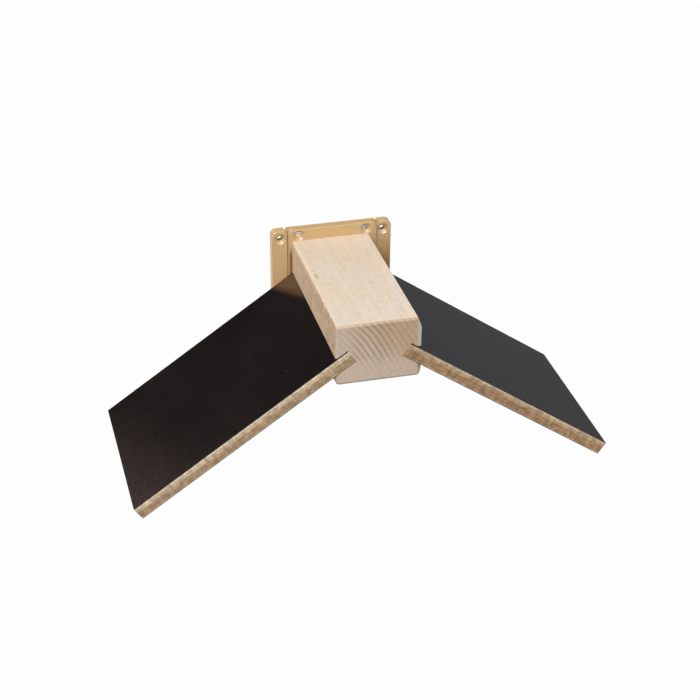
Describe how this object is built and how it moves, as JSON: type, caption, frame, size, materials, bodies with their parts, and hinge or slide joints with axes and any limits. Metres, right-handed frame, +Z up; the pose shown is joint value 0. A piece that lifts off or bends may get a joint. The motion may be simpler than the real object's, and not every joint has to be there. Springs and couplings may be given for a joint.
{
  "type": "pigeon perch",
  "caption": "Roof-shaped perch for a pigeon loft: a wood block with two sloping film-faced plywood wings on a slide-in plastic wall hanger.",
  "frame": {"origin": "centre of the wall plate's back face, which rests on the wall", "axes": "+Z up, +Y into the wall, +X to the right of a person who faces the wall, along the span of the wings"},
  "size_m": [0.3276, 0.133, 0.1341],
  "materials": {
    "softwood": "planed, uncoated",
    "plywood": "sawn edges, ply layers visible",
    "dark_film": "semi-gloss phenolic film",
    "hanger_plastic": "satin, moulded",
    "zinc_screw": "bright zinc"
  },
  "bodies": {
    "wall_plate": {"wall_plate": "hanger_plastic"},
    "perch": {"perch_block": "softwood", "perch_plate": "hanger_plastic", "slide_tongue": "hanger_plastic", "left_wing_core": "plywood", "right_wing_core": "plywood", "left_wing_top_film": "dark_film", "left_wing_bottom_film": "dark_film", "right_wing_top_film": "dark_film", "right_wing_bottom_film": "dark_film", "corner_screw_1": "zinc_screw", "corner_screw_2": "zinc_screw", "corner_screw_3": "zinc_screw", "corner_screw_4": "zinc_screw", "block_screw_1": "zinc_screw", "block_screw_2": "zinc_screw", "block_screw_3": "zinc_screw", "block_screw_4": "zinc_screw"}
  },
  "joints": [
    {"name": "lift_off", "type": "slide", "parent": "wall_plate", "child": "perch", "axis": [0, 0, 1], "range_m": [0, 0.061]}
  ]
}
